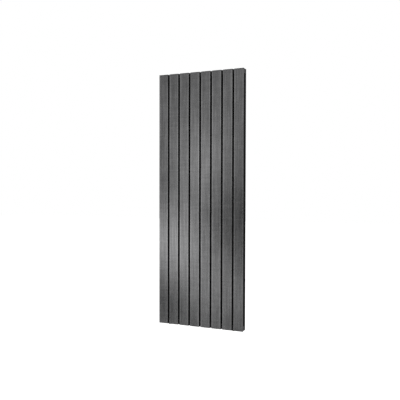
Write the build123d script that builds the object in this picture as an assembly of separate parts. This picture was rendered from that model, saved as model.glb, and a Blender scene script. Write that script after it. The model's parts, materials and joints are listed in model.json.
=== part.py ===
from build123d import *
import os

# Vertical double-row flat-tube radiator, wall hung.
# Millimetres, +Z up, +X to the right seen from the front, the front faces -Y.
# Origin: centre of the four main wall-fixing holes, on the wall plane (Y = 0).

# ---------------------------------------------------------------- driving sizes
height = 1800.0            # flat tubes with their end caps
tube_count = 8             # flat tubes in each row
tube_width = 70.0
tube_depth = 11.0
tube_wall = 1.25
tube_edge_r = 2.6
tube_gap = 11.5            # clear gap between neighbouring tubes
cap_thk = 3.0              # welded end closure of each flat tube
cap_edge_r = 1.2
cap_step = 2.0             # locating step that drops into the tube
cap_step_play = 0.2        # total play of the step in the tube

header_depth = 30.0        # square collector between the two rows
header_height = 30.0
header_wall = 2.0
header_corner_r = 2.5
header_inner_r = header_corner_r - header_wall + 0.3
header_inset = 3.0         # collector ends sit this far inside the outer tube edges
header_cap_thk = 2.0
header_cap_edge_r = 0.8
waterway_r = 7.0           # round opening between each tube and the collector
divider_thk = 2.0
divider_play = 0.1
divider_corner_r = 1.2

wall_gap = 33.0            # wall to the back of the rear row, at the closest setting

port_r = 9.5               # G1/2 connection bore
boss_r = 12.2
boss_len = 14.0
boss_chamfer = 0.6
port_hole_r = 12.25        # opening in the collector that takes the boss
centre_port_half = 25.0    # flow and return 50 mm apart

over = 1.0                 # how far a cutting shape runs past the material

# ---------------------------------------------------------------- derived places
pitch = tube_width + tube_gap
overall_width = tube_count * tube_width + (tube_count - 1) * tube_gap
half_height = height / 2
y_rear = -(wall_gap + tube_depth / 2)
y_header = -(wall_gap + tube_depth + header_depth / 2)
y_front = -(wall_gap + tube_depth + header_depth + tube_depth / 2)
z_header = half_height - header_height / 2     # outer face flush with the tube ends
header_half = overall_width / 2 - header_inset - header_cap_thk
tube_x = [(i - (tube_count - 1) / 2) * pitch for i in range(tube_count)]
outer_port_x = tube_x[-1] - pitch / 2          # between the two outer tubes
lug_x = 2 * pitch                              # between tubes 2-3 and 6-7
lug_z = 780.0

os.makedirs("parts", exist_ok=True)


# ---------------------------------------------------------------- helpers
def put(name, shapes):
    """Writes one node. A list becomes a group of separate solids."""
    items = shapes if isinstance(shapes, list) else [shapes]
    solids = [solid for item in items for solid in item.solids()]
    node = solids[0] if len(solids) == 1 else Compound(children=solids)
    node.label = name
    export_step(node, f"parts/{name}.step")


def at(x, y, z, shape):
    return Pos(x, y, z) * shape


def cyl(radius, z0, z1, x=0.0, y=0.0):
    return at(x, y, (z0 + z1) / 2, Cylinder(radius, z1 - z0))


def cyl_forward(radius, length):
    """Cylinder from the origin along -Y."""
    align = (Align.CENTER, Align.CENTER, Align.MIN)
    return Rot(90, 0, 0) * Cylinder(radius, length, align=align)


def block(x0, x1, y0, y1, z0, z1):
    return at((x0 + x1) / 2, (y0 + y1) / 2, (z0 + z1) / 2, Box(x1 - x0, y1 - y0, z1 - z0))


def hexagon(across_flats, z0, z1, x=0.0, y=0.0):
    profile = RegularPolygon(across_flats / 2, 6, major_radius=False)
    return at(x, y, z0, extrude(profile, z1 - z0))


def top_edges(shape):
    return shape.faces().sort_by(Axis.Z)[-1].edges()


def bottom_edges(shape):
    return shape.faces().sort_by(Axis.Z)[0].edges()


def edges_at(shape, axis, x=None, y=None, z=None):
    """Edges parallel to axis, centred at the given y and z, and at x on either side."""
    def matches(edge):
        centre = edge.center()
        pairs = ((abs(centre.X), x), (centre.Y, y), (centre.Z, z))
        return all(want is None or abs(value - want) < 0.01 for value, want in pairs)

    return [edge for edge in shape.edges().filter_by(axis) if matches(edge)]


# ---------------------------------------------------------------- flat tubes
def tube_profile(extra=0.0):
    return RectangleRounded(tube_width + extra, tube_depth + extra, tube_edge_r + extra / 2)


def flat_tube(x, y, inward):
    """Hollow tube; its wall towards the collectors has a waterway at each of them."""
    length = height - 2 * cap_thk
    tube = extrude(tube_profile(), length) - extrude(tube_profile(-2 * tube_wall), length)
    tube = at(x, y, -half_height + cap_thk, tube)
    wall_y = y + inward * (tube_depth / 2 - tube_wall / 2)
    for side in (-1, 1):
        cut = Rot(90, 0, 0) * Cylinder(waterway_r, tube_wall * 3)
        tube -= at(x, wall_y, side * z_header, cut)
    return tube


def tube_cap(x, y, top):
    """Pressed cap with a locating step."""
    plate = extrude(tube_profile(), cap_thk)
    plate = fillet(top_edges(plate), cap_edge_r)
    step_profile = tube_profile(-2 * tube_wall - cap_step_play)
    cap = plate + at(0, 0, -cap_step, extrude(step_profile, cap_step))
    if top:
        return at(x, y, half_height - cap_thk, cap)
    return at(x, y, -half_height + cap_thk, Rot(180, 0, 0) * cap)


for row, row_y, inward in (("front", y_front, 1), ("rear", y_rear, -1)):
    for i, x in enumerate(tube_x, start=1):
        put(f"{row}_tube_{i}", flat_tube(x, row_y, inward))
    put(f"{row}_tube_caps_top", [tube_cap(x, row_y, True) for x in tube_x])
    put(f"{row}_tube_caps_bottom", [tube_cap(x, row_y, False) for x in tube_x])


# ---------------------------------------------------------------- collectors
def header_profile():
    return RectangleRounded(header_depth, header_height, header_corner_r)


def collector(z, ports):
    """Square pipe along X, with waterways to both rows and ports in its lower face."""
    inner = RectangleRounded(header_depth - 2 * header_wall, header_height - 2 * header_wall,
                             header_inner_r)
    body = extrude(header_profile(), 2 * header_half) - extrude(inner, 2 * header_half)
    body = at(-header_half, y_header, z, Rot(0, 90, 0) * body)
    for x in tube_x:
        cut = Rot(90, 0, 0) * Cylinder(waterway_r, header_depth + 4 * over)
        body -= at(x, y_header, z, cut)
    face_z = z - header_height / 2
    for x in ports:
        body -= cyl(port_hole_r, face_z - over, face_z + header_wall * 2, x, y_header)
    return body


def collector_cap(z, side):
    plate = extrude(header_profile(), header_cap_thk)
    plate = fillet(top_edges(plate), header_cap_edge_r)
    return at(side * header_half, y_header, z, Rot(0, side * 90, 0) * plate)


def vent_cut():
    """Opening for the vent boss in the left end of the top collector."""
    cut = Rot(0, 90, 0) * Cylinder(port_hole_r, 12)
    return at(-header_half, y_header, z_header, cut)


def flow_divider():
    """Plate in the bottom collector: water rises in one half of the tubes, falls in the other."""
    size = header_depth - 2 * header_wall - divider_play
    plate = extrude(RectangleRounded(size, size, divider_corner_r), divider_thk)
    return at(-divider_thk / 2, y_header, -z_header, Rot(0, 90, 0) * plate)


port_x = {"flow_boss": -centre_port_half, "return_boss": centre_port_half,
          "bottom_left_boss": -outer_port_x, "bottom_right_boss": outer_port_x}

put("top_collector", collector(z_header, []))
put("bottom_collector", collector(-z_header, sorted(port_x.values())))
put("top_collector_end_caps",
    [collector_cap(z_header, -1) - vent_cut(), collector_cap(z_header, 1)])
put("bottom_collector_end_caps", [collector_cap(-z_header, side) for side in (-1, 1)])
put("flow_divider", flow_divider())


# ---------------------------------------------------------------- threaded bosses
# Bosses, plugs and vent pieces are built along local Z: 0 on the boss mouth,
# + out of the collector.
def placed_below(shape, x):
    """Points local Z down out of the bottom collector."""
    return at(x, y_header, -half_height, Rot(180, 0, 0) * shape)


def placed_left(shape):
    """Points local Z out of the left end of the top collector."""
    mouth_x = header_half + header_cap_thk
    return at(-mouth_x, y_header, z_header, Rot(0, -90, 0) * shape)


def boss():
    """Turned ring let into the collector and welded flush with its face."""
    ring = cyl(boss_r, -boss_len, 0)
    ring = chamfer(top_edges(ring), boss_chamfer)
    return ring - cyl(port_r, -boss_len - over, over)


for name, x in port_x.items():
    put(name, placed_below(boss(), x))
put("vent_boss", placed_left(boss()))

# ---------------------------------------------------------------- blanking plugs
seal_thk = 1.5
seal_r = 12.4
seal_bore_r = 9.7
seal_edge_r = 0.45
seal_play = 0.02           # at each face of the seal
turn_play = 0.08           # radial play of shank and needle
shank_r = port_r - turn_play
shank_len = 11.0           # reach inside the boss
flange_r = 12.6
plug_flange_top = seal_thk + 2.0
plug_head_flats = 19.0
plug_head_top = plug_flange_top + 3.2
socket_flats = 8.0
socket_floor = seal_thk + 1.0
socket_cut_len = 8.0
plug_hollow_r = 7.0
plug_hollow_end = -1.0


def shank():
    return chamfer(bottom_edges(cyl(shank_r, -shank_len, seal_thk)), 1.0)


def plug():
    flange = cyl(flange_r, seal_thk, plug_flange_top)
    flange = chamfer(top_edges(flange), 0.5)
    head = hexagon(plug_head_flats, plug_flange_top, plug_head_top)
    head = chamfer(top_edges(head), 0.7)
    socket = hexagon(socket_flats, socket_floor, socket_floor + socket_cut_len)
    hollow = cyl(plug_hollow_r, -shank_len - over, plug_hollow_end)
    return shank() + flange + head - socket - hollow


def seal():
    ring = cyl(seal_r, seal_play, seal_thk - seal_play)
    ring -= cyl(seal_bore_r, -over, seal_thk + over)
    return fillet(ring.edges().filter_by(GeomType.CIRCLE), seal_edge_r)


put("plug_bottom_left", placed_below(plug(), -outer_port_x))
put("plug_bottom_right", placed_below(plug(), outer_port_x))
put("plug_seals", [placed_below(seal(), side * outer_port_x) for side in (-1, 1)])

# ---------------------------------------------------------------- air vent
# A vent plug in the left end of the top collector, with a square-headed bleed
# screw and a swivelling outlet held under a lip.
spindle_r = 2.5
spindle_bore_r = spindle_r + 0.06
spindle_bottom = -4.15
spindle_top = 11.2
waist_r = 1.5
waist_half = 1.0
square_half = 1.75
square_height = 3.0
seat_z_vent = -6.0         # where the bore narrows to the channel
channel_r = 1.2
needle_tip = -6.55
needle_shoulder = -5.95
needle_top = -4.2
vent_top = 12.4
vent_flange_top = seal_thk + 1.2
vent_hex_flats = 20.0
vent_hex_top = 5.6
neck_r = 6.3
neck_bottom = 5.0
lip_r = 7.1
lip_thk = 1.0
cross_z = 8.6              # level of the cross hole, groove and waist
cross_hole_r = 0.9
groove_r = 6.5
groove_floor_r = 5.8
groove_half = 0.6
outlet_r = 9.0
outlet_bore_r = 6.36
outlet_bottom = 5.75
outlet_top = 11.2
spout_z = 8.4
spout_r = 1.9
spout_start = 7.6          # from the vent axis
spout_len = 6.0


def vent_body():
    flange = cyl(flange_r, seal_thk, vent_flange_top)
    nut = hexagon(vent_hex_flats, vent_flange_top, vent_hex_top)
    nut = chamfer(top_edges(nut), 0.6)
    neck = cyl(neck_r, neck_bottom, vent_top)
    lip = cyl(lip_r, vent_top - lip_thk, vent_top)
    lip = fillet(top_edges(lip), 0.4)
    body = shank() + flange + nut + neck + lip
    body -= cyl(spindle_bore_r, seat_z_vent, vent_top + over)
    body -= cyl(channel_r, -shank_len - over, seat_z_vent + over)
    # cross hole from the screw bore to the outlet groove
    body -= at(0, 0, cross_z, Rot(0, 90, 0) * Cylinder(cross_hole_r, 20))
    groove = cyl(groove_r, cross_z - groove_half, cross_z + groove_half)
    groove -= cyl(groove_floor_r, 7.0, 10.0)
    return body - groove


def vent_outlet():
    """Swivel ring with a spout towards local -Y."""
    bore = cyl(outlet_bore_r, 5.0, 12.0)
    ring = cyl(outlet_r, outlet_bottom, outlet_top) - bore
    rims = ring.edges().filter_by(GeomType.CIRCLE).sort_by(SortBy.RADIUS)[-2:]
    ring = fillet(rims, 0.5)
    spout = at(0, -spout_start, spout_z, cyl_forward(spout_r, spout_len))
    hole = at(0, -6.0, spout_z, cyl_forward(cross_hole_r, 20))
    return (ring + spout) - bore - hole


def vent_needle():
    """Disc with a cone that closes the channel."""
    cone = Cone(0.55, 1.12, needle_shoulder - needle_tip,
                align=(Align.CENTER, Align.CENTER, Align.MIN))
    disc = cyl(spindle_r - turn_play, needle_shoulder, needle_top)
    return at(0, 0, needle_tip, cone) + disc


def vent_screw():
    shaft = cyl(spindle_r, spindle_bottom, spindle_top)
    # waisted part that lets water past to the cross hole
    waist_cut = cyl(spindle_r + over, cross_z - waist_half, cross_z + waist_half)
    shaft -= waist_cut - cyl(waist_r, 7.0, 10.0)
    square = block(-square_half, square_half, -square_half, square_half,
                   spindle_top, spindle_top + square_height)
    return shaft + chamfer(top_edges(square), 0.3)


put("vent_body", placed_left(vent_body()))
put("vent_seal", placed_left(seal()))
put("vent_outlet", placed_left(Rot(0, 0, -90) * vent_outlet()))      # spout down
put("vent_needle", placed_left(vent_needle()))
put("vent_screw", placed_left(vent_screw()))

# ---------------------------------------------------------------- hanging lugs
lug_thk = 2.5
lug_half = 16.0            # half height
loop_in = 7.0              # depth of the loop behind the tubes
loop_half = 16.0           # half the clear width of the loop
foot = 15.0
lug_bend_r = 3.2
lug_inner_r = 0.9
foot_corner_r = 3.0


def lug(x, z):
    """Hat-shaped strap on the rear row: a loop that drops over a bracket arm."""
    back = -wall_gap                       # back of the tubes
    foot_y = back + lug_thk
    inner_y = back + loop_in
    outer_y = inner_y + lug_thk
    outer_x = loop_half + lug_thk
    foot_x = outer_x + foot
    outline = [                            # x, y
        (-foot_x, back), (-foot_x, foot_y), (-outer_x, foot_y), (-outer_x, outer_y),
        (outer_x, outer_y), (outer_x, foot_y), (foot_x, foot_y), (foot_x, back),
        (loop_half, back), (loop_half, inner_y), (-loop_half, inner_y), (-loop_half, back),
    ]
    strap = extrude(make_face(Polyline(*outline, close=True)), 2 * lug_half)
    strap = fillet(edges_at(strap, Axis.Z, x=outer_x, y=outer_y), lug_bend_r)
    strap = fillet(edges_at(strap, Axis.Z, x=loop_half, y=inner_y), lug_inner_r)
    strap = fillet(edges_at(strap, Axis.Y, x=foot_x), foot_corner_r)
    return at(x, 0, z - lug_half, strap)


for level, z in (("upper", lug_z), ("lower", -lug_z)):
    put(f"{level}_hanging_lugs", [lug(side * lug_x, z) for side in (-1, 1)])

# ---------------------------------------------------------------- wall brackets
# Local origin: the main wall hole of the bracket, on the wall plane.
plate_thk = 3.0
plate_half_w = 20.0
plate_top = 50.0
plate_hole_r = 3.5
plate_hole_step = 36.0     # second hole of each wall plate, above the main one
seat_z = -lug_half         # the loop's lower edge
liner_thk = 1.5
liner_play = 0.05
liner_front_lip_y = -21.5  # wall-side end of the liner's level part
arm_thk = 3.0
arm_half_w = 15.0
arm_back_y = -5.0          # arm end nearest the wall
arm_top = seat_z - liner_thk          # upper face of the arm's level leg
arm_bot = arm_top - arm_thk
shelf_top = arm_bot - 0.05
shelf_bot = shelf_top - plate_thk
shelf_depth = 29.0
travel = 10.0              # depth adjustment
slot_half_w = 3.3
tongue_mid = -wall_gap + loop_in / 2  # centred in the lug's loop
tongue_y0 = tongue_mid - arm_thk / 2
tongue_y1 = tongue_mid + arm_thk / 2
tongue_half_w = arm_half_w - 1.5
tongue_top = seat_z + 14.0
screw_y = -12.0
screw_r = 2.95
arm_hole_r = 3.3
clamp_flats = 10.0         # nut and screw head
nut_height = 5.0
nut_bore_r = 3.0
washer_r = 6.0
washer_bore_r = 3.2
washer_thk = 1.6
clamp_play = 0.03          # above and below the washer
washer_top = shelf_bot - clamp_play
head_top = washer_top - washer_thk - clamp_play
head_height = 4.0
screw_end = arm_top + 6.5


def wall_plate():
    """Angle plate: upright on the wall, slotted shelf at its foot."""
    upright = block(-plate_half_w, plate_half_w, -plate_thk, 0, shelf_bot, plate_top)
    shelf = block(-plate_half_w, plate_half_w, -shelf_depth, 0, shelf_bot, shelf_top)
    body = upright + shelf
    body = fillet(edges_at(body, Axis.X, y=0, z=shelf_bot), 3.5)
    body = fillet(edges_at(body, Axis.X, y=-plate_thk, z=shelf_top), 1.0)
    body = fillet(edges_at(body, Axis.Y, x=plate_half_w, z=plate_top), 5.0)
    body = fillet(edges_at(body, Axis.Z, y=-shelf_depth), 4.0)
    for z in (0.0, plate_hole_step):
        body -= at(0, -plate_thk / 2, z, Rot(90, 0, 0) * Cylinder(plate_hole_r, plate_thk * 3))
    slot = SlotOverall(travel + 2 * slot_half_w, 2 * slot_half_w)
    cut = Rot(0, 0, 90) * extrude(slot, plate_thk + 2 * over)
    return body - at(0, screw_y - travel / 2, shelf_bot - over, cut)


def bracket_arm():
    """Level leg on the shelf with an upturned tongue at its front end."""
    leg = block(-arm_half_w, arm_half_w, tongue_y0, arm_back_y, arm_bot, arm_top)
    tongue = block(-tongue_half_w, tongue_half_w, tongue_y0, tongue_y1, arm_bot, tongue_top)
    body = leg + tongue
    body = fillet(edges_at(body, Axis.X, y=tongue_y0, z=arm_bot), 2.0)
    body = fillet(edges_at(body, Axis.Z, y=arm_back_y), 3.0)
    body = fillet(edges_at(body, Axis.Y, x=tongue_half_w, z=tongue_top), 3.0)
    return body - cyl(arm_hole_r, arm_bot - over, arm_top + over, 0, screw_y)


def arm_liner():
    """Sleeve over the tongue and the front of the level leg."""
    front = tongue_y0 - liner_thk
    back = tongue_y1 + liner_thk
    top = tongue_top + liner_thk
    leg_z = arm_top + liner_play
    tip_z = tongue_top + liner_play
    outline = [                            # y, z
        (front, leg_z), (front, top), (back, top), (back, seat_z - liner_play),
        (liner_front_lip_y, seat_z - liner_play), (liner_front_lip_y, leg_z),
        (tongue_y1 + liner_play, leg_z), (tongue_y1 + liner_play, tip_z),
        (tongue_y0 - liner_play, tip_z), (tongue_y0 - liner_play, leg_z),
    ]
    sleeve = extrude(make_face(Polyline(*outline, close=True)), 2 * arm_half_w)
    # sketch x, y become Y, Z; the extrusion runs along X
    plane = Plane(origin=(-arm_half_w, 0, 0), x_dir=(0, 1, 0), z_dir=(1, 0, 0))
    sleeve = Location(plane) * sleeve
    return fillet(edges_at(sleeve, Axis.X, z=top), 0.9)


def arm_nut():
    nut = hexagon(clamp_flats, arm_top, arm_top + nut_height, 0, screw_y)
    return nut - cyl(nut_bore_r, arm_top - over, arm_top + nut_height + over, 0, screw_y)


def clamp_washer():
    disc = cyl(washer_r, washer_top - washer_thk, washer_top, 0, screw_y)
    return disc - cyl(washer_bore_r, washer_top - 3, washer_top + over, 0, screw_y)


def clamp_screw():
    head = hexagon(clamp_flats, head_top - head_height, head_top, 0, screw_y)
    head = chamfer(bottom_edges(head), 0.5)
    stem = cyl(screw_r, head_top, screw_end, 0, screw_y)
    return head + chamfer(top_edges(stem), 0.6)


corners = {"upper_left": (-lug_x, lug_z), "upper_right": (lug_x, lug_z),
           "lower_left": (-lug_x, -lug_z), "lower_right": (lug_x, -lug_z)}
for corner, (x, z) in corners.items():
    for build in (wall_plate, bracket_arm, clamp_washer, clamp_screw):
        put(f"{build.__name__}_{corner}", at(x, 0, z, build()))
put("arm_liners", [at(x, 0, z, arm_liner()) for x, z in corners.values()])
put("arm_nuts", [at(x, 0, z, arm_nut()) for x, z in corners.values()])
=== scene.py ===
"""A tubular radiator of two rows of flat tubes on square collectors, with bosses and screws.

The tubes stand along Z and the collectors run along X, centred on the origin.
The front row faces -Y, and left is -X. Sizes come from the CAD pieces in the frame.
"""
import json
import math

import bmesh
import bpy
from mathutils import Matrix, Vector


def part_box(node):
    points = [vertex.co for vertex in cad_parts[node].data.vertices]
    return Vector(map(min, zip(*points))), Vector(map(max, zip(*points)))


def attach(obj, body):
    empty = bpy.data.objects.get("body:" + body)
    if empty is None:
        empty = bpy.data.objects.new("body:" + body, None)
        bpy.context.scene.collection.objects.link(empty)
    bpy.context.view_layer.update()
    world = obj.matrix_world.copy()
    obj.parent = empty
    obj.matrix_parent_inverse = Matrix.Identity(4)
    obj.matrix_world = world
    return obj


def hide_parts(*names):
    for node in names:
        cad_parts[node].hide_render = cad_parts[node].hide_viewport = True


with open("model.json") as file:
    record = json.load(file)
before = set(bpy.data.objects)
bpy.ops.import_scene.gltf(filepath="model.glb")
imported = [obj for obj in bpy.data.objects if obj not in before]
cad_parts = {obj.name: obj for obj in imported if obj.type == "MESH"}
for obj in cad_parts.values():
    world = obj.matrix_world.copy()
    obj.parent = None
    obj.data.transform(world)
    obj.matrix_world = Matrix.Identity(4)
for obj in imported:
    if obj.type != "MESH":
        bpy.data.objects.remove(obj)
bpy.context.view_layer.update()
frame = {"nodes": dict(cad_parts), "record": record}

scene = bpy.context.scene
MM = 0.001


# ================================================================ sizes
def centre(box):
    lo, hi = box
    return (lo.x + hi.x) / 2, (lo.y + hi.y) / 2, (lo.z + hi.z) / 2


tube_boxes = [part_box(f"front_tube_{i}") for i in range(1, 9)]
tube_lo, tube_hi = tube_boxes[0]
tube_x = [centre(box)[0] for box in tube_boxes]
tube_pitch = tube_x[1] - tube_x[0]
tube_w = tube_hi.x - tube_lo.x
tube_d = tube_hi.y - tube_lo.y
tube_end = tube_hi.z
tube_r = 2.6 * MM
wall = 1.25 * MM
front_plane = tube_lo.y
front_y = centre(tube_boxes[0])[1]
rear_y = centre(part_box("rear_tube_1"))[1]

half_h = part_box("front_tube_caps_top")[1].z
cap_thk = half_h - tube_end

col_lo, col_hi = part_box("top_collector")
_, col_y, col_z = centre((col_lo, col_hi))
col_d = col_hi.y - col_lo.y
col_half = col_hi.x
col_r = 2.5 * MM
col_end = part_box("top_collector_end_caps")[1].x
outer_port_x = centre(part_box("bottom_right_boss"))[0]
port_x = centre(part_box("flow_boss"))[0]

WATERWAY_R = 7 * MM       # holes between the tubes and the collectors
PORT_R = 12.25 * MM       # holes for the bosses

# weld beads
BEAD_SIDES = 8
RIPPLE = 0.12             # swing of the radius, as a part of it
RIPPLE_LENGTH = 2.2 * MM
BEAD_STEP = 0.75 * MM


# ================================================================ mesh tools
def outline(width, depth, radius, cuts=(3, 0)):
    """Counter-clockwise rounded rectangle with support points beside each corner.

    cuts holds the extra points on each side along the width and along the depth.
    """
    corner_steps, support = 8, 0.8 * MM
    arcs = []
    for i, (side_x, side_y) in enumerate(((1, -1), (1, 1), (-1, 1), (-1, -1))):
        x, y = side_x * (width / 2 - radius), side_y * (depth / 2 - radius)
        angles = [math.radians(90 * (i - 1) + 90 * k / corner_steps)
                  for k in range(corner_steps + 1)]
        arcs.append([(x + radius * math.cos(a), y + radius * math.sin(a)) for a in angles])
    points = []
    for i, arc in enumerate(arcs):
        points += arc
        start, end = Vector(arc[-1]), Vector(arcs[(i + 1) % 4][0])
        length = (end - start).length
        count = cuts[1] if i % 2 == 0 else cuts[0]
        near = min(support, length * 0.3) / length
        places = [near] + [(k + 1) / (count + 1) for k in range(count)] + [1 - near]
        points += [tuple(start.lerp(end, t)) for t in places]
    return points


def rounded_edge(height, radius, steps):
    """(height, inset) stations of a quarter round that ends at the given height."""
    angles = [math.radians(90 * k / steps) for k in range(steps + 1)]
    return [(height - radius + radius * math.sin(a), radius * (1 - math.cos(a)))
            for a in angles]


def across(direction, up=None):
    """Two unit vectors square to a direction."""
    if up is None:
        up = (0, 0, 1) if abs(direction.z) < 0.9 else (1, 0, 0)
    first = direction.cross(Vector(up)).normalized()
    return first, direction.cross(first).normalized()


def ripple(turns, swing=RIPPLE):
    """Scale of a bead's radius after some number of ripples."""
    return 1 + swing * (abs(math.sin(math.pi * turns)) - 0.6)


class Build:
    """Collects closed shells made of rings joined one to the next."""

    def __init__(self):
        self.verts, self.faces = [], []

    def loft(self, rings, loop=False, flip=False):
        """Joins the rings. The ends are closed with a face, or joined in a loop."""
        base, size, count = len(self.verts), len(rings[0]), len(rings)
        for ring in rings:
            self.verts.extend(tuple(p) for p in ring)
        faces = []
        for i in range(count if loop else count - 1):
            a, b = base + i * size, base + ((i + 1) % count) * size
            for j in range(size):
                k = (j + 1) % size
                faces.append((a + j, a + k, b + k, b + j))
        if not loop:
            faces.append(tuple(base + j for j in reversed(range(size))))
            faces.append(tuple(base + (count - 1) * size + j for j in range(size)))
        if flip:
            faces = [tuple(reversed(face)) for face in faces]
        self.faces.extend(faces)
        return self

    def rod(self, start, end, radius, sides):
        start, end = Vector(start), Vector(end)
        e1, e2 = across((end - start).normalized())
        angles = [2 * math.pi * j / sides for j in range(sides)]
        return self.loft([[p + e1 * radius * math.cos(a) + e2 * radius * math.sin(a)
                           for a in angles] for p in (start, end)])

    def rope(self, points, radius, swing=RIPPLE, up=None):
        """A weld bead: a rippled round strand along a line, with tapered ends, closed."""
        points = [Vector(p) for p in points]
        lengths = [0.0]
        for a, b in zip(points, points[1:]):
            lengths.append(lengths[-1] + (b - a).length)
        total = lengths[-1]
        steps = max(4, int(round(total / BEAD_STEP)))
        rings = []
        for i in range(steps + 1):
            run = total * i / steps
            k = max(j for j in range(len(lengths)) if lengths[j] <= run + 1e-9)
            k = min(k, len(points) - 2)
            part = (run - lengths[k]) / (lengths[k + 1] - lengths[k])
            middle = points[k].lerp(points[k + 1], part)
            along = (points[k + 1] - points[k]).normalized()
            e1, e2 = across(along, up)
            from_end = min(1.0, min(run, total - run) / (radius * 1.2))
            taper = math.sqrt(max(0.0, 1 - (1 - from_end) ** 2)) * 0.92 + 0.08
            phase = (run / RIPPLE_LENGTH) % 1.0
            r = radius * taper * ripple(phase, swing)
            lean = 0.25 * swing * radius * math.cos(2 * math.pi * phase)
            ring = []
            for j in range(BEAD_SIDES):
                a = 2 * math.pi * j / BEAD_SIDES
                ring.append(middle + along * lean * math.sin(a / 2)
                            + e1 * r * math.cos(a) + e2 * r * math.sin(a))
            rings.append(ring)
        return self.loft(rings)

    def ring_bead(self, middle, ring_radius, radius, around_x=False):
        """A rippled, slightly flattened bead in a circle around Z, or around X."""
        flatten, rings_per_ripple = 0.8, 3
        count = int(round(2 * math.pi * ring_radius / RIPPLE_LENGTH)) * rings_per_ripple
        rings = []
        for i in range(count):
            a = 2 * math.pi * i / count
            r = radius * ripple(i / rings_per_ripple)
            ring = []
            for j in range(BEAD_SIDES):
                t = 2 * math.pi * j / BEAD_SIDES
                reach = ring_radius + r * math.cos(t)
                u, v = math.cos(a) * reach, math.sin(a) * reach
                w = r * flatten * math.sin(t)
                ring.append(Vector(middle) + Vector((w, u, v) if around_x else (u, v, w)))
            rings.append(ring)
        return self.loft(rings, loop=True, flip=True)


def face_out(mesh):
    bm = bmesh.new()
    bm.from_mesh(mesh)
    bmesh.ops.recalc_face_normals(bm, faces=bm.faces)
    bm.to_mesh(mesh)
    bm.free()


def smooth(mesh, angle):
    """Smooth faces, with every edge sharper than the angle kept crisp."""
    bm = bmesh.new()
    bm.from_mesh(mesh)
    limit = math.radians(angle)
    for face in bm.faces:
        face.smooth = True
    for edge in bm.edges:
        edge.smooth = not (len(edge.link_faces) == 2 and edge.calc_face_angle(0.0) > limit)
    bm.to_mesh(mesh)
    bm.free()


def mesh_of(build, name, angle=32.0):
    mesh = bpy.data.meshes.new(name)
    mesh.from_pydata(build.verts, [], build.faces)
    mesh.validate()
    face_out(mesh)
    smooth(mesh, angle)
    return mesh


def cut_mesh(mesh, cutter_build, angle=32.0):
    """The mesh minus the closed shells of the cutter."""
    body = bpy.data.objects.new("cut_a", mesh)
    cutter = bpy.data.objects.new("cut_b", mesh_of(cutter_build, "cutter"))
    for ob in (body, cutter):
        scene.collection.objects.link(ob)
    cut = body.modifiers.new("cut", "BOOLEAN")
    cut.operation, cut.solver, cut.object = "DIFFERENCE", "EXACT", cutter
    depsgraph = bpy.context.evaluated_depsgraph_get()
    result = bpy.data.meshes.new_from_object(body.evaluated_get(depsgraph))
    for ob in (body, cutter):
        bpy.data.objects.remove(ob)
    result.validate()
    smooth(result, angle)
    return result


def piece(name, mesh, material, node=None, body="radiator"):
    """An object that rides on a body and stands in for a CAD node, if one is given."""
    ob = bpy.data.objects.new(name, mesh)
    scene.collection.objects.link(ob)
    mesh.materials.clear()
    mesh.materials.append(material)
    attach(ob, body)
    if node:
        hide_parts(node)


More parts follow.
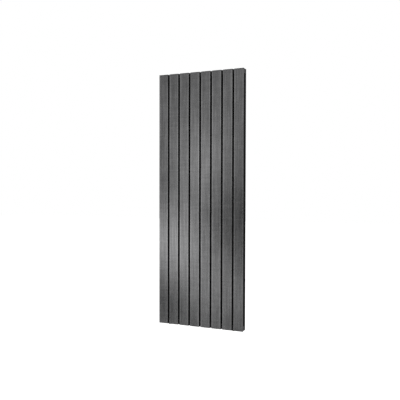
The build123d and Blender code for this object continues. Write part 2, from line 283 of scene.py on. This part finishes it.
# ================================================================ shader tools
class Shader:
    """Short ways to add and link the nodes of a material or a world."""

    def __init__(self, owner):
        owner.use_nodes = True
        self.tree = owner.node_tree
        self.tree.nodes.clear()

    def add(self, kind, **settings):
        node = self.tree.nodes.new("ShaderNode" + kind)
        for key, value in settings.items():
            setattr(node, key, value)
        return node

    def put(self, socket, value):
        if isinstance(value, bpy.types.NodeSocket):
            self.tree.links.new(value, socket)
        else:
            socket.default_value = value

    def coords(self, kind="Object"):
        return self.add("TexCoord").outputs[kind]

    def split(self, vector):
        node = self.add("SeparateXYZ")
        self.put(node.inputs[0], vector)
        return node.outputs

    def combine(self, values):
        node = self.add("CombineXYZ")
        for socket, value in zip(node.inputs, values):
            self.put(socket, value)
        return node.outputs[0]

    def math(self, op, a, b=0.0, c=None, clamp=False):
        node = self.add("Math", operation=op, use_clamp=clamp)
        self.put(node.inputs[0], a)
        self.put(node.inputs[1], b)
        if c is not None:
            self.put(node.inputs[2], c)
        return node.outputs[0]

    def vmath(self, op, a, b):
        node = self.add("VectorMath", operation=op)
        self.put(node.inputs[0], a)
        self.put(node.inputs[1], b)
        return node.outputs[0]

    def noise(self, coords, scale, detail, rough, offset=None, distortion=0.0):
        """Noise with one scale, or with one for each axis."""
        if not isinstance(scale, tuple):
            scale = (scale, scale, scale)
        vector = self.vmath("MULTIPLY", coords, scale)
        if offset is not None:
            vector = self.vmath("ADD", vector, offset)
        node = self.add("TexNoise")
        node.inputs["Scale"].default_value = 1.0
        node.inputs["Detail"].default_value = detail
        node.inputs["Roughness"].default_value = rough
        node.inputs["Distortion"].default_value = distortion
        self.put(node.inputs["Vector"], vector)
        return node.outputs[0]

    def grey_ramp(self, value, stops):
        """stops: two (position, grey level) pairs."""
        node = self.add("ValToRGB")
        for element, (position, level) in zip(node.color_ramp.elements, stops):
            element.position = position
            element.color = (level, level, level, 1.0)
        self.put(node.inputs[0], value)
        return node.outputs[0]

    def smoothstep(self, value, lo, hi):
        node = self.add("MapRange", interpolation_type="SMOOTHSTEP")
        self.put(node.inputs["Value"], value)
        node.inputs["From Min"].default_value = lo
        node.inputs["From Max"].default_value = hi
        return node.outputs[0]

    def fall(self, value, lo, hi):
        return self.math("SUBTRACT", 1.0, self.smoothstep(value, lo, hi))

    def scaled(self, value, mask, change):
        """The value times 1 + change where the mask is 1."""
        return self.math("MULTIPLY", value, self.math("MULTIPLY_ADD", mask, change, 1.0))

    def bell(self, u, w, falloff):
        """exp(-falloff * (u*u + w*w))"""
        square = self.math("ADD", self.math("MULTIPLY", u, u), self.math("MULTIPLY", w, w))
        return self.math("EXPONENT", self.math("MULTIPLY", square, -falloff))

    def mix_color(self, factor, a, b, blend="MIX"):
        node = self.add("Mix", data_type="RGBA", blend_type=blend)
        self.put(node.inputs[0], factor)
        self.put(node.inputs[6], a)
        self.put(node.inputs[7], b)
        return node.outputs[2]

    def bump(self, height, strength, distance):
        node = self.add("Bump")
        node.inputs["Strength"].default_value = strength
        node.inputs["Distance"].default_value = distance
        self.put(node.inputs["Height"], height)
        return node.outputs[0]

    def principled(self, color, roughness, normal, metallic=0.0):
        node = self.add("BsdfPrincipled")
        self.put(node.inputs["Base Color"], color)
        self.put(node.inputs["Roughness"], roughness)
        self.put(node.inputs["Normal"], normal)
        node.inputs["Metallic"].default_value = metallic
        return node

    def join(self, kind, *values):
        """An AddShader or MixShader with its inputs filled in order."""
        node = self.add(kind)
        for socket, value in zip(node.inputs, values):
            self.put(socket, value)
        return node.outputs[0]

    def out(self, surface, kind="OutputMaterial"):
        self.put(self.add(kind).inputs["Surface"], surface)


def new_material(name):
    material = bpy.data.materials.new(name)
    return material, Shader(material)


# ================================================================ materials
def shade_tube(n, level, coords, tube_y, edge_highlight_gain):
    """Paints a highlight along the long edges of the tubes of one row, and painted shade along
    their tops, on their narrow sides and on the faces turned to the other row.
    """
    x, y, z = n.split(coords)
    # distance to the nearer long edge of the tube
    u = n.math("SUBTRACT", x, tube_x[0] - tube_w / 2)
    u = n.math("MODULO", n.math("ADD", u, tube_pitch * 4), tube_pitch)
    edge_dist = n.math("MINIMUM", u, n.math("SUBTRACT", tube_w, u))
    edge_dist = n.math("ABSOLUTE", edge_dist)
    # painted highlight: a lighter band a few millimetres in from each long edge
    edge = n.fall(edge_dist, 3.4 * MM, 10.5 * MM)
    edge = n.math("MULTIPLY", edge, n.smoothstep(edge_dist, 1.2 * MM, 3.2 * MM))
    level = n.scaled(level, edge, edge_highlight_gain)
    # painted shade: darker along the top few millimetres of the tubes and their caps
    top = n.smoothstep(z, half_h - 6.6 * MM, half_h - 3.6 * MM)
    level = n.scaled(level, top, -0.50)
    # painted shade: the narrow sides of the tubes, down in the gaps between them, are darkened
    from_middle = n.math("SUBTRACT", y, tube_y)
    inset = n.math("SUBTRACT", tube_d / 2, n.math("ABSOLUTE", from_middle))
    side = n.smoothstep(inset, 0.02 * MM, 0.42 * MM)
    near = n.fall(edge_dist, 2.0 * MM, 3.4 * MM)
    level = n.scaled(level, n.math("MULTIPLY", side, near), -0.87)
    # painted shade: the faces turned to the other row are darkened too
    inward = 1.0 if tube_y < (front_y + rear_y) / 2 else -1.0
    inner = n.math("MULTIPLY", n.math("SUBTRACT", y, tube_y), inward)
    inner = n.smoothstep(inner, tube_d / 2 - 1.2 * MM, tube_d / 2 - 0.4 * MM)
    return n.scaled(level, inner, -0.60)


def shade_collector(n, level, coords):
    """Darkens the collector faces at the bottom of each gap."""
    y = n.split(coords)[1]
    dist = n.math("ABSOLUTE", n.math("SUBTRACT", y, col_y))
    face = n.smoothstep(dist, col_d / 2 - 0.7 * MM, col_d / 2 - 0.2 * MM)
    return n.scaled(level, face, -0.74)


def coating(name, tone, rough, edge_highlight_gain=0.0, tube_y=None, grain_along="z"):
    """Satin metallic graphite: fine grain, cloudy mottling, and on the tubes a painted highlight
    along the long edges.
    """
    material, n = new_material(name)
    coords = n.coords()
    # each object gets its own place in the noise
    random = n.add("ObjectInfo").outputs["Random"]
    offset = n.combine([n.math("MULTIPLY", random, k) for k in (37.0, 11.0, 53.0)])

    def grain(wide, along, detail):
        scale = (wide, wide, along) if grain_along == "z" else (along, wide, wide)
        return n.noise(coords, scale, detail, 0.6, offset)

    lines = grain(wide=1400.0, along=7.0, detail=2.0)
    streaks = grain(wide=210.0, along=2.2, detail=4.0)
    broad = grain(wide=85.0, along=4.0, detail=3.0)
    cloud = n.noise(coords, (16.0, 16.0, 9.0), 5.0, 0.62, offset, distortion=0.4)
    band = n.noise(coords, (3.0, 3.0, 70.0), 2.0, 0.5, offset)
    mottle = n.noise(coords, (75.0, 75.0, 60.0), 3.0, 0.6, offset)
    speck = n.noise(coords, 2600.0, 1.0, 0.5)

    # each noise swings the brightness by this much in all
    level = None
    for pattern, swing in ((lines, 0.16), (streaks, 0.42), (cloud, 0.50), (band, 0.34),
                           (broad, 0.95), (mottle, 0.22), (speck, 0.10)):
        part = n.math("MULTIPLY_ADD", pattern, swing, 1.0 - swing / 2)
        level = part if level is None else n.math("MULTIPLY", level, part)
    if tube_y is not None:
        level = shade_tube(n, level, coords, tube_y, edge_highlight_gain)
    if grain_along == "x":
        level = shade_collector(n, level, coords)
    # a trace of blue
    color = n.combine([n.math("MULTIPLY", level, tone * gain) for gain in (1.0, 1.0, 1.012)])

    # cloud and streaks swing the roughness around its mean
    roughness = n.math("MULTIPLY_ADD", cloud, 0.16, rough - 0.08)
    roughness = n.math("MULTIPLY_ADD", streaks, 0.10, n.math("SUBTRACT", roughness, 0.05))
    height = n.math("ADD", n.math("MULTIPLY", lines, 0.55), n.math("MULTIPLY", speck, 0.25))
    height = n.math("ADD", height, n.math("MULTIPLY", streaks, 0.6))
    normal = n.bump(height, strength=0.35, distance=0.12 * MM)
    bsdf = n.principled(color, roughness, normal, metallic=0.92)
    bsdf.inputs["Anisotropic"].default_value = 0.45
    tangent = n.add("CombineXYZ")
    tangent.inputs[2 if grain_along == "z" else 0].default_value = 1.0
    n.put(bsdf.inputs["Tangent"], tangent.outputs[0])
    n.out(bsdf.outputs[0])
    return material


def plain_metal(name, color, rough, brushed, grime=0.25):
    """Machined or plated metal: turning marks, small scratches, slight tarnish."""
    material, n = new_material(name)
    coords = n.coords()
    fine = n.noise(coords, brushed, 3.0, 0.6)
    cloud = n.noise(coords, 130.0, 4.0, 0.6)
    pits = n.noise(coords, 1900.0, 2.0, 0.5)
    dark = tuple(c * (1 - grime) for c in color) + (1.0,)
    tarnished = n.mix_color(n.smoothstep(cloud, 0.35, 0.7), color + (1.0,), dark)
    tint = n.grey_ramp(fine, [(0.3, 0.88), (0.7, 1.0)])
    base = n.mix_color(1.0, tarnished, tint, blend="MULTIPLY")
    # fine marks and clouds swing the roughness around its mean
    roughness = n.math("MULTIPLY_ADD", cloud, 0.12, rough - 0.13)
    roughness = n.math("MULTIPLY_ADD", fine, 0.14, roughness)
    height = n.math("ADD", fine, n.math("MULTIPLY", pits, 0.4))
    normal = n.bump(height, strength=0.2, distance=0.08 * MM)
    n.out(n.principled(base, roughness, normal, metallic=1.0).outputs[0])
    return material


def dielectric(name, color, rough, peel, bump, distance=0.1 * MM, shade=0.2):
    """Powder coat, moulded plastic or rubber: fine texture and soft shade changes."""
    material, n = new_material(name)
    coords = n.coords()
    skin = n.noise(coords, peel, 3.0, 0.55)
    cloud = n.noise(coords, 90.0, 4.0, 0.6)
    light = tuple(min(1.0, c * (1 + shade) + 0.004) for c in color) + (1.0,)
    dark = tuple(c * (1 - shade) for c in color) + (1.0,)
    base = n.mix_color(n.smoothstep(cloud, 0.3, 0.72), dark, light)
    # skin and clouds swing the roughness around its mean
    roughness = n.math("MULTIPLY_ADD", cloud, 0.1, rough - 0.15)
    roughness = n.math("MULTIPLY_ADD", skin, 0.2, roughness)
    n.out(n.principled(base, roughness, n.bump(skin, bump, distance)).outputs[0])
    return material


# The rear row, the collectors and the fittings take the front's coating at darker tones, and the
# rear row a weaker edge highlight: painted shade for the parts behind the front faces.
front_mat = coating("front_coating", tone=0.34, rough=0.27, edge_highlight_gain=0.56, tube_y=front_y)
body_mat = coating("body_coating", tone=0.31, rough=0.30, edge_highlight_gain=0.40, tube_y=rear_y)
collector_mat = coating("collector_coating", tone=0.27, rough=0.34, grain_along="x")
fitting_mat = coating("fitting_coating", tone=0.27, rough=0.36)
weld_mat = coating("weld_coating", tone=0.22, rough=0.46)
bracket_mat = dielectric("bracket_powder_coat", (0.030, 0.030, 0.031), rough=0.52,
                         peel=1300.0, bump=0.35, distance=0.15 * MM)
zinc_mat = plain_metal("zinc_plate", (0.62, 0.63, 0.65), rough=0.34,
                       brushed=(900.0, 900.0, 2600.0))
nickel_mat = plain_metal("nickel_plate", (0.66, 0.63, 0.58), rough=0.26,
                         brushed=(700.0, 700.0, 3000.0), grime=0.18)
brass_mat = plain_metal("turned_brass", (0.72, 0.53, 0.26), rough=0.30,
                        brushed=(700.0, 700.0, 3200.0))
white_mat = dielectric("moulded_white", (0.72, 0.72, 0.70), rough=0.42,
                       peel=700.0, bump=0.12, shade=0.05)
liner_mat = dielectric("moulded_nylon", (0.045, 0.045, 0.047), rough=0.50,
                       peel=800.0, bump=0.18)
rubber_mat = dielectric("moulded_rubber", (0.02, 0.02, 0.021), rough=0.72,
                        peel=1100.0, bump=0.3)

SLOT_MATERIALS = {
    "front_finish": front_mat, "body_finish": fitting_mat, "bracket_steel": bracket_mat,
    "zinc_steel": zinc_mat, "nickel": nickel_mat, "brass": brass_mat,
    "white_plastic": white_mat, "liner_plastic": liner_mat, "seal_rubber": rubber_mat,
}


def dress_cad_pieces():
    slot_of = {part["node"]: part["material_slot"] for part in frame["record"]["subparts"]}
    for node, ob in frame["nodes"].items():
        for slot in ob.material_slots:
            slot.link = "OBJECT"
            slot.material = SLOT_MATERIALS[slot_of[node]]


# ================================================================ flat tubes
def tube_outline(inset):
    return outline(tube_w - 2 * inset, tube_d - 2 * inset, max(tube_r - inset, 0.25 * MM))


def tube_mesh(inward):
    """One hollow flat tube at x = 0, y = 0, its waterways in the wall on the inward side."""
    chamfer = 0.30 * MM
    crown_height = 0.06 * MM
    near_end = [0.840, 0.855, 0.870]     # heights around the waterways
    middle = [-0.8 + 1.6 * k / 32 for k in range(33)]
    body = [-z for z in reversed(near_end)] + middle + near_end
    flats = [-tube_end + chamfer, -tube_end + 1.5 * MM, *body,
             tube_end - 1.5 * MM, tube_end - chamfer]
    stations = [(-tube_end, chamfer)] + [(z, 0.0) for z in flats] + [(tube_end, chamfer)]
    rings = []
    for z, inset in stations:
        ring = []
        for x, y in tube_outline(inset):
            # roll-formed flats: the middle stands a few hundredths prouder than the edges
            on_flat = abs(y) > tube_d / 2 - 0.2 * MM
            crown = crown_height * (2 * x / tube_w) ** 2 if on_flat else 0.0
            ring.append((x, y - math.copysign(crown, y), z))
        rings.append(ring)
    inner = [-tube_end, *body[:3], *middle[::4], *near_end, tube_end]
    for z in reversed(inner):
        rings.append([(x, y, z) for x, y in tube_outline(wall)])
    mesh = mesh_of(Build().loft(rings, loop=True), "tube")
    cutter = Build()
    for end in (-1, 1):
        cutter.rod((0, inward * (tube_d / 2 - wall - 1.0 * MM), end * col_z),
                   (0, inward * (tube_d / 2 + 2 * MM), end * col_z), WATERWAY_R, 36)
    return cut_mesh(mesh, cutter)


# (row, middle in y, slot, material)
ROWS = (("front", front_y, "front_finish", front_mat),
        ("rear", rear_y, "body_finish", body_mat))


def build_tubes():
    bases = [tube_mesh(+1), tube_mesh(-1)]
    for i, x in enumerate(tube_x, start=1):
        for base, (row, y, slot, material) in zip(bases, ROWS):
            mesh = base.copy()
            mesh.name = f"tube_{row}_{i}"
            mesh.transform(Matrix.Translation(Vector((x, y, 0))))
            piece(f"tube_{row}_{i}", mesh, material, f"{row}_tube_{i}")


def tube_cap_rings(x, y, end):
    """Pressed cap: locating step, small seam chamfer, rounded outer edge."""
    chamfer, edge_r = 0.30 * MM, 1.2 * MM
    step = wall + 0.1 * MM
    # (height above the tube end, inset)
    levels = [(-2.0 * MM, wall + 0.5 * MM), (-1.6 * MM, step), (0.0, step),
              (0.0, chamfer), (chamfer, 0.0)]
    levels += rounded_edge(cap_thk, edge_r, steps=6)
    levels += [(cap_thk, edge_r + 0.7 * MM), (cap_thk, edge_r + 1.6 * MM)]
    return [[(x + px, y + end * py, end * (tube_end + height)) for px, py in tube_outline(inset)]
            for height, inset in levels]


def build_tube_caps():
    for row, y, slot, material in ROWS:
        for end, word in ((1, "top"), (-1, "bottom")):
            caps = Build()
            for x in tube_x:
                caps.loft(tube_cap_rings(x, y, end))
            name = f"caps_{row}_{word}"
            piece(name, mesh_of(caps, name, 38), material, f"{row}_tube_caps_{word}")


# ================================================================ collectors
COLLECTOR_CHAMFER = 0.25 * MM


def collector_ring(x, z, inset, radius):
    size = col_d - 2 * inset
    return [(x, col_y + a, z + b) for a, b in outline(size, size, radius, cuts=(1, 1))]


def collector_mesh(z, ports=()):
    """Hollow square bar with waterways front and rear and ports in its lower face."""
    col_wall, chamfer, steps = 2.0 * MM, COLLECTOR_CHAMFER, 40
    start = -col_half + chamfer
    middle = [start + (2 * col_half - 2 * chamfer) * k / steps for k in range(1, steps)]
    stations = [(-col_half, chamfer), (start, 0)] + [(x, 0) for x in middle] \
        + [(col_half - chamfer, 0), (col_half, chamfer)]
    rings = [collector_ring(x, z, inset, col_r - inset) for x, inset in stations]
    for x in reversed([-col_half, *middle[::4], col_half]):
        rings.append(collector_ring(x, z, col_wall, 0.8 * MM))
    mesh = mesh_of(Build().loft(rings, loop=True), "collector")
    cutter = Build()
    inside, outside = col_d / 2 - col_wall - 1.5 * MM, col_d / 2 + 2 * MM
    for x in tube_x:
        for side in (-1, 1):
            cutter.rod((x, col_y + side * inside, z), (x, col_y + side * outside, z),
                       WATERWAY_R, 36)
    for x in ports:
        cutter.rod((x, col_y, z - inside), (x, col_y, z - outside), PORT_R, 64)
    return cut_mesh(mesh, cutter)


def build_collectors():
    ports = [-outer_port_x, port_x, -port_x, outer_port_x]
    for word, mesh in (("top", collector_mesh(col_z)),
                       ("bottom", collector_mesh(-col_z, ports))):
        piece(f"collector_{word}", mesh, collector_mat, f"{word}_collector")


def build_collector_caps():
    thickness, edge_r = col_end - col_half, 0.8 * MM
    # (height above the collector end, inset)
    levels = [(0, COLLECTOR_CHAMFER), (COLLECTOR_CHAMFER, 0)]
    levels += rounded_edge(thickness, edge_r, steps=4)
    levels += [(thickness, edge_r + 1.2 * MM)]
    for z, word in ((col_z, "top"), (-col_z, "bottom")):
        name = f"collector_caps_{word}"
        caps = Build()
        for side in (-1, 1):
            caps.loft([collector_ring(side * (col_half + height), z, inset, col_r - inset * 0.9)
                       for height, inset in levels], flip=side < 0)
        mesh = mesh_of(caps, name, 38)
        if word == "top":
            # the vent boss passes through the left end
            cutter = Build().rod((-col_half - 8 * MM, col_y, z),
                                 (-col_half + 4 * MM, col_y, z), PORT_R, 64)
            mesh = cut_mesh(mesh, cutter, 38)
            mesh.name = name
        piece(name, mesh, collector_mat, f"{word}_collector_end_caps")


# ================================================================ threads
def turned_ring(x, y, z, radius, sides):
    """A ring around Z. The radius is a number or a function of the angle."""
    ring = []
    for j in range(sides):
        a = 2 * math.pi * j / sides
        r = radius(a) if callable(radius) else radius
        ring.append((x + r * math.cos(a), y + r * math.sin(a), z))
    return ring


def tooth(turns):
    """Rounded vee, 0 at the root and 1 at the crest."""
    t = abs((turns % 1.0) * 2 - 1)
    return t * t * (3 - 2 * t)


def build_threaded_boss(x, name, node):
    """Welding boss with a G1/2 internal thread, mouth downwards."""
    pitch, crest_r, depth = 1.814 * MM, 9.45 * MM, 0.9 * MM
    fade_length = 1.2 * MM          # the thread runs out at the inner end
    mouth_r, mouth_slope = 10.9 * MM, 0.9
    sides, steps = 72, 84
    lo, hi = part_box(node)
    length = hi.z - lo.z
    outer_r = (hi.x - lo.x) / 2
    # (height above the mouth, inset)
    stations = ((0, 0.8 * MM), (0.8 * MM, 0), (length / 2, 0), (length - 1.2 * MM, 0),
                (length - 0.25 * MM, 0), (length, 0))
    rings = [turned_ring(x, col_y, lo.z + height, outer_r - inset, sides)
             for height, inset in stations]
    for i in range(steps, -1, -1):
        height = length * i / steps
        fade = min(1.0, max(0.0, (length - height) / fade_length))

        def radius(a):
            turned = depth * tooth(height / pitch - a / (2 * math.pi))
            return max(crest_r + turned * fade, mouth_r - height * mouth_slope)

        rings.append(turned_ring(x, col_y, lo.z + height, radius, sides))
    mesh = mesh_of(Build().loft(rings, loop=True), name, 48)
    piece(name, mesh, fitting_mat, node)


def hex_radius(across_flats, a):
    a = (a + math.pi / 6) % (math.pi / 3) - math.pi / 6
    return across_flats / 2 / math.cos(a)


def build_bolt(corner):
    """Hexagon screw, head down: conical head edge, shallow dished face, M6 thread."""
    node = f"clamp_screw_{corner}"
    sides = 48
    flats, face_r, head_h = 10 * MM, 4.7 * MM, 4.0 * MM
    pitch, root_r, depth = 1.0 * MM, 2.42 * MM, 0.52 * MM
    lo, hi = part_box(node)
    x, y, _ = centre((lo, hi))
    rings = []

    def ring(z, radius):
        rings.append(turned_ring(x, y, z, radius, sides))

    ring(lo.z + 0.35 * MM, 2.2 * MM)
    ring(lo.z + 0.05 * MM, 3.6 * MM)
    ring(lo.z, face_r)
    # the hexagon's lower corners are cut back by a cone
    for k in range(1, 6):
        height = 0.9 * MM * k / 5
        cone = face_r + 0.02 * MM + height * 1.5
        ring(lo.z + height, lambda a: min(hex_radius(flats, a), cone))
    ring(lo.z + 3.9 * MM, lambda a: hex_radius(flats, a))
    ring(lo.z + head_h, lambda a: hex_radius(9.9 * MM, a))
    head_top = lo.z + head_h
    ring(head_top, 3.0 * MM)
    ring(head_top + 0.2 * MM, 2.75 * MM)
    span = hi.z - head_top - 0.9 * MM
    steps = int(span / (pitch / 7))
    for i in range(steps + 1):
        z = head_top + 0.5 * MM + span * i / steps
        ring(z, lambda a: root_r + depth * tooth(z / pitch - a / (2 * math.pi)))
    ring(hi.z - 0.15 * MM, 2.35 * MM)
    ring(hi.z, 2.0 * MM)
    name = f"bolt_{corner}"
    piece(name, mesh_of(Build().loft(rings), name, 30), zinc_mat, node, body=node)


# ================================================================ weld beads
def weld_piece(beads, name):
    piece(name, mesh_of(beads, name, 60), weld_mat)


def build_tube_welds(z, end, word):
    """Beads between one collector and the tubes. end is 1 at the top, -1 at the bottom."""
    seam_half, upright_half = 33.5 * MM, 12.8 * MM
    bead_r, dressed_r = 1.7 * MM, 1.05 * MM
    beads = Build()

    def level_seam(x, y, z, radius, **settings):
        beads.rope([(x - seam_half, y, z), (x + seam_half, y, z)], radius, **settings)

    for i, x in enumerate(tube_x):
        for face_y, inward in ((col_lo.y, 1), (col_hi.y, -1)):
            # the seam at the very end is dressed down flush, the others stand proud
            level_seam(x, face_y + inward * 0.95 * MM, z + end * (col_d / 2 - 1.2 * MM),
                       dressed_r, swing=0.05)
            level_seam(x, face_y + inward * 0.8 * MM, z - end * (col_d / 2 - 0.7 * MM), bead_r)
            for side in (-1, 1):
                # none on the outermost edges of the rows
                if (i == 0 and side < 0) or (i == len(tube_x) - 1 and side > 0):
                    continue
                edge_x = x + side * (tube_w / 2 - 0.7 * MM)
                edge_y = face_y - inward * 0.8 * MM
                beads.rope([(edge_x, edge_y, z - upright_half),
                            (edge_x, edge_y, z + upright_half)], bead_r)
    weld_piece(beads, f"welds_tubes_{word}")


def build_boss_welds():
    beads = Build()
    for node in ("flow_boss", "return_boss", "bottom_left_boss", "bottom_right_boss"):
        x = centre(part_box(node))[0]
        beads.ring_bead((x, col_y, -half_h), 13.25 * MM, 0.62 * MM)
    beads.ring_bead((-col_end, col_y, col_z), 13.2 * MM, 0.6 * MM, around_x=True)
    weld_piece(beads, "welds_bosses")


def build_lug_welds():
    """Beads down both edges of each lug, hooked in at their ends."""
    lug_half = 33.5 * MM
    # (inset from the lug edge, distance from the lug's lower or upper end), in mm
    hook = ((3.5, 0.2), (0.6, 1.2), (-0.2, 4.0))
    beads = Build()
    for node in ("upper_hanging_lugs", "lower_hanging_lugs"):
        lo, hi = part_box(node)
        y = lo.y + 0.9 * MM
        for side in (-1, 1):
            for edge in (-1, 1):
                x = side * (hi.x - lug_half) + edge * lug_half
                line = [(x - edge * inset * MM, y, lo.z + rise * MM) for inset, rise in hook]
                line += [(x - edge * inset * MM, y, hi.z - rise * MM)
                         for inset, rise in reversed(hook)]
                beads.rope(line, 1.5 * MM, up=(0, 1, 0))
    weld_piece(beads, "welds_lugs")


# ================================================================ camera
def build_camera():
    data = bpy.data.cameras.new("camera")
    data.sensor_width = 36.0
    data.lens = 46.389
    data.clip_start, data.clip_end = 0.01, 60.0
    camera = bpy.data.objects.new("camera", data)
    scene.collection.objects.link(camera)
    camera.matrix_world = Matrix(((0.92483952, -0.01038739, 0.38021569, 1.38072083),
                                  (0.38035081, 0.01930571, -0.92464077, -3.44154258),
                                  (0.00226427, 0.99975967, 0.02180554, 0.07947665),
                                  (0, 0, 0, 1)))
    scene.camera = camera
    bpy.context.view_layer.update()
    return camera


# ================================================================ light
SHEER_Y = front_plane - 0.9
# Patches, placed where the front faces mirror them: (x, z, spread in x, spread in z,
# strength). A negative strength shades.
SHEER_PATCHES = [
    (-0.21, -0.29, 0.16, 0.16, 0.93),     # lower left glow
    (0.02, 0.22, 0.155, 0.18, 0.51),      # centre glow
    (0.09, -0.59, 0.21, 0.17, 0.38),      # low centre
    (-0.10, 0.62, 0.50, 0.34, 0.30),      # upper wash
    (0.37, -0.15, 0.145, 0.22, -0.75),    # shade at the right
    (-0.32, -0.77, 0.15, 0.15, -0.66),    # shade at the lower left
    (0.06, -0.93, 0.60, 0.08, -0.85),     # shade along the bottom
    (0.32, 0.88, 0.14, 0.16, 0.14),       # upper right corner
]
FILL_STRENGTH, FILL_FALLOFF = 0.34, 16.0
# dome light: where the front faces look, all around, and added overhead
DOME_FRONT, DOME_AROUND, DOME_OVERHEAD = 0.045, 0.32, 0.20


def quad(name, corners, material):
    mesh = bpy.data.meshes.new(name)
    mesh.from_pydata(corners, [], [(0, 1, 2, 3)])
    mesh.materials.append(material)
    ob = bpy.data.objects.new(name, mesh)
    scene.collection.objects.link(ob)
    return ob


def light_card(name, corners, material, parent=None):
    card = quad(name, corners, material)
    card.parent = parent
    card.visible_camera = False
    card.visible_shadow = False


def sheer_material(camera):
    """A studio sheer: clear, with a few soft patches that glow or shade."""
    material, n = new_material("sheer_glow")
    x, _, z = n.split(n.coords())
    eye = camera.matrix_world.translation
    mirror_eye = Vector((eye.x, 2 * front_plane - eye.y, eye.z))
    # the patches grow by this from the front faces to the sheer
    spread = (mirror_eye.y - SHEER_Y) / (mirror_eye.y - front_plane)
    glow, shade = 0.0, 0.0
    for patch_x, patch_z, spread_x, spread_z, strength in SHEER_PATCHES:
        card_x = mirror_eye.x + (patch_x - mirror_eye.x) * spread
        card_z = mirror_eye.z + (patch_z - mirror_eye.z) * spread
        u = n.math("DIVIDE", n.math("SUBTRACT", x, card_x), spread_x * spread)
        w = n.math("DIVIDE", n.math("SUBTRACT", z, card_z), spread_z * spread)
        patch = n.math("MULTIPLY", n.bell(u, w, 0.5), abs(strength))
        if strength >= 0:
            glow = n.math("ADD", patch, glow)
        else:
            shade = n.math("ADD", patch, shade)
    front = n.math("SUBTRACT", 1.0, n.add("NewGeometry").outputs["Backfacing"])
    lit = n.math("MULTIPLY", glow, n.math("SUBTRACT", 1.0, shade, clamp=True))
    emission = n.add("Emission")
    n.put(emission.inputs["Strength"], n.math("MULTIPLY", front, lit))
    keep = n.math("SUBTRACT", 1.0, n.math("MULTIPLY", front, shade), clamp=True)
    clear = n.add("BsdfTransparent")
    n.put(clear.inputs["Color"], n.combine([keep] * 3))
    n.out(n.join("AddShader", emission.outputs[0], clear.outputs[0]))
    return material


def fill_material():
    """A soft glow that fades towards the edges of the card."""
    material, n = new_material("fill_glow")
    x, y, _ = n.split(n.coords("Generated"))
    u = n.math("SUBTRACT", x, 0.5)
    w = n.math("SUBTRACT", y, 0.5)
    emission = n.add("Emission")
    n.put(emission.inputs["Strength"],
          n.math("MULTIPLY", n.bell(u, w, FILL_FALLOFF), FILL_STRENGTH))
    clear = n.add("BsdfTransparent")
    n.out(n.join("AddShader", emission.outputs[0], clear.outputs[0]))
    return material


def build_lights(camera):
    left, right, bottom, top = -3.4, 2.2, -2.4, 2.8
    light_card("front_sheer", [(left, SHEER_Y, bottom), (left, SHEER_Y, top),
                               (right, SHEER_Y, top), (right, SHEER_Y, bottom)],
               sheer_material(camera))
    # the fill hangs behind the camera and moves with it
    half_w, half_t, behind = 3.6, 3.0, 0.5
    light_card("fill_softbox", [(-half_w, -half_t, behind), (half_w, -half_t, behind),
                                (half_w, half_t, behind), (-half_w, half_t, behind)],
               fill_material(), parent=camera)


def build_world():
    """An even dome, brighter overhead and dimmer where the front faces look. White to the eye."""
    world = bpy.data.worlds.new("studio")
    scene.world = world
    n = Shader(world)
    x, y, z = n.split(n.coords("Generated"))
    high = n.smoothstep(z, 0.30, 0.95)
    # how far a direction leans to the front and a little to the left
    toward = n.math("MULTIPLY_ADD", x, -0.38, n.math("MULTIPLY", y, -0.925))
    around = n.fall(toward, 0.68, 0.92)
    level = n.math("MULTIPLY_ADD", around, DOME_AROUND - DOME_FRONT, DOME_FRONT)
    level = n.math("MULTIPLY_ADD", high, DOME_OVERHEAD, level)
    dome, backdrop = n.add("Background"), n.add("Background")
    for background in (dome, backdrop):
        background.inputs[0].default_value = (1, 1, 1, 1)
    n.put(dome.inputs[1], level)
    n.out(n.join("MixShader", n.add("LightPath").outputs["Is Camera Ray"],
                 dome.outputs[0], backdrop.outputs[0]), "OutputWorld")


# ================================================================ floor
def floor_material():
    """Pale matt floor that looks white to the camera and is clear from below."""
    material, n = new_material("pale_floor")
    speck = n.noise(n.coords(), 6.0, 3.0, 0.5)
    matt = n.add("BsdfDiffuse")
    n.put(matt.inputs["Color"], n.grey_ramp(speck, [(0.3, 0.60), (0.7, 0.64)]))
    emission = n.add("Emission")
    emission.inputs["Color"].default_value = (1, 1, 1, 1)
    emission.inputs["Strength"].default_value = 1.0
    bright = n.join("AddShader", matt.outputs[0], emission.outputs[0])
    seen = n.join("MixShader", n.add("LightPath").outputs["Is Camera Ray"],
                  matt.outputs[0], bright)
    n.out(n.join("MixShader", n.add("NewGeometry").outputs["Backfacing"],
                 seen, n.add("BsdfTransparent").outputs[0]))
    return material


def build_floor():
    half, z = 14, -half_h - 0.16
    quad("floor", [(-half, -half, z), (half, -half, z), (half, half, z),
                            (-half, half, z)], floor_material())


# ================================================================ build
dress_cad_pieces()
build_tubes()
build_tube_caps()
build_collectors()
build_collector_caps()
build_threaded_boss(port_x, "boss_flow_threaded", "flow_boss")
build_threaded_boss(-port_x, "boss_return_threaded", "return_boss")
for corner in ("upper_left", "upper_right", "lower_left", "lower_right"):
    build_bolt(corner)
build_tube_welds(col_z, 1, "top")
build_tube_welds(-col_z, -1, "bottom")
build_boss_welds()
build_lug_welds()
main_camera = build_camera()
build_lights(main_camera)
build_world()
build_floor()

scene.view_settings.view_transform = "Standard"
scene.view_settings.look = "None"
scene.view_settings.exposure = 0.0
scene.view_settings.gamma = 1.0
